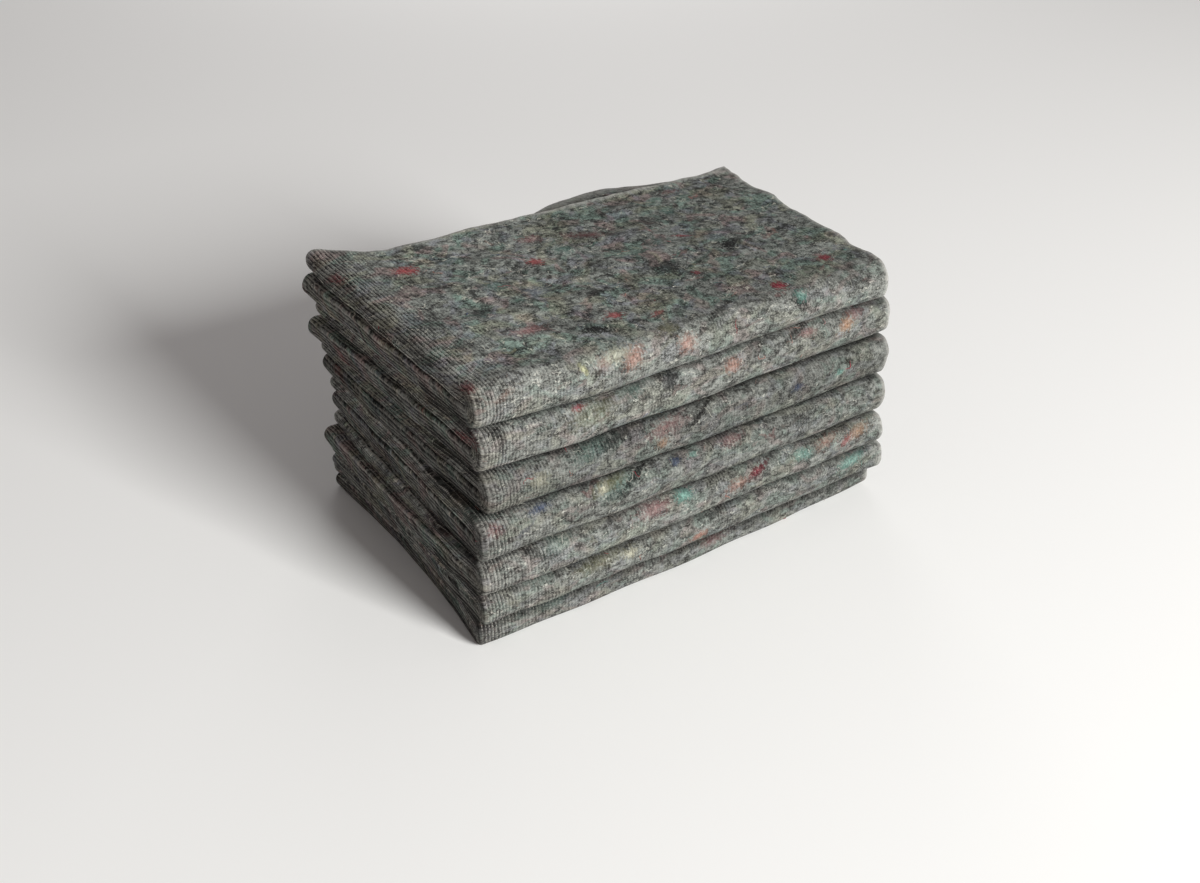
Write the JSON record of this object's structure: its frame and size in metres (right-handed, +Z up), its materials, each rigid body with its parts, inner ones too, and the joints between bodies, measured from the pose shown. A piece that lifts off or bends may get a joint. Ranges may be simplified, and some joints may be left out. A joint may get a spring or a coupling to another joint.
{
  "type": "stack of folded moving blankets",
  "caption": "Stack of thick recycled-felt moving blankets, each folded in half three times, with round folds at the front and left and cut edges at the back and right.",
  "frame": {"origin": "on the floor, under the middle of the stack's box", "axes": "+X along the blankets' long side, from their side folds to their cut edges; +Y from the front folds to the back; +Z up"},
  "size_m": [0.7967, 0.5391, 0.434],
  "materials": {
    "felt": "thick grey recycled-fibre felt with mixed coloured flecks and close rows of stitching"
  },
  "bodies": {
    "root": {"blanket_1": "felt", "blanket_2": "felt", "blanket_3": "felt", "blanket_4": "felt", "blanket_5": "felt", "blanket_6": "felt", "blanket_7": "felt"}
  },
  "joints": []
}
